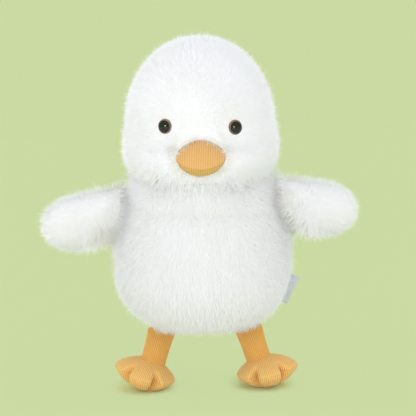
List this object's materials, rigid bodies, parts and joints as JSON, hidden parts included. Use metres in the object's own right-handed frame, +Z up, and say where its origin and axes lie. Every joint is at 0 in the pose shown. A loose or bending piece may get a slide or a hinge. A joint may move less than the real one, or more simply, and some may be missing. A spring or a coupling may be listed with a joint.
{
  "type": "plush duck",
  "caption": "White long-pile plush duck standing on ribbed-knit legs, with stuffed wings and legs that swing at their sewn seams and a soft knit beak.",
  "frame": {"origin": "on the floor under the middle of the toy's box, the feet standing on it", "axes": "+Z up to the crown, -Y out of the face, +X towards the duck's own left wing"},
  "size_m": [0.2728, 0.1636, 0.3],
  "materials": {
    "white_fur": "long brushed pile",
    "stuffing": "loose polyester fibre",
    "leg_knit": "fine rib knit",
    "foot_knit": "fine rib knit",
    "beak_knit": "fine rib knit",
    "ribbon": "smooth woven ribbon",
    "eye_gloss": "polished",
    "washer_plastic": "moulded, matt"
  },
  "bodies": {
    "torso": {"head_front_left": "white_fur", "head_front_right": "white_fur", "head_back_left": "white_fur", "head_back_right": "white_fur", "body_front_left": "white_fur", "body_front_right": "white_fur", "body_back_left": "white_fur", "body_back_right": "white_fur", "head_stuffing": "stuffing", "body_stuffing": "stuffing", "beak_upper": "beak_knit", "beak_lower": "beak_knit", "beak_stuffing": "stuffing", "tail_upper": "white_fur", "tail_lower": "white_fur", "tail_stuffing": "stuffing", "eye_left": "eye_gloss", "eye_right": "eye_gloss", "eye_washer_left": "washer_plastic", "eye_washer_right": "washer_plastic", "side_label": "ribbon"},
    "wing_left": {"wing_left_front": "white_fur", "wing_left_back": "white_fur", "wing_left_stuffing": "stuffing"},
    "wing_right": {"wing_right_front": "white_fur", "wing_right_back": "white_fur", "wing_right_stuffing": "stuffing"},
    "leg_left": {"leg_left_cover": "leg_knit", "leg_left_stuffing": "stuffing", "foot_left_upper": "foot_knit", "foot_left_sole": "foot_knit", "foot_left_stuffing": "stuffing"},
    "leg_right": {"leg_right_cover": "leg_knit", "leg_right_stuffing": "stuffing", "foot_right_upper": "foot_knit", "foot_right_sole": "foot_knit", "foot_right_stuffing": "stuffing"}
  },
  "joints": [
    {"name": "wing_left_swing", "type": "hinge", "parent": "torso", "child": "wing_left", "pos_m": [0.07574, -0.00514, 0.15495], "axis": [0.2945, 0, -0.9557], "range_deg": [-50, 60]},
    {"name": "wing_right_swing", "type": "hinge", "parent": "torso", "child": "wing_right", "pos_m": [-0.07163, -0.00514, 0.15029], "axis": [0.2664, 0, 0.9639], "range_deg": [-50, 60]},
    {"name": "leg_left_swing", "type": "hinge", "parent": "torso", "child": "leg_left", "pos_m": [0.04078, -0.00814, 0.04755], "axis": [-0.9586, 0, -0.2846], "range_deg": [-35, 65]},
    {"name": "leg_right_swing", "type": "hinge", "parent": "torso", "child": "leg_right", "pos_m": [-0.03538, -0.00814, 0.04755], "axis": [-0.9586, 0, 0.2846], "range_deg": [-35, 65]}
  ]
}
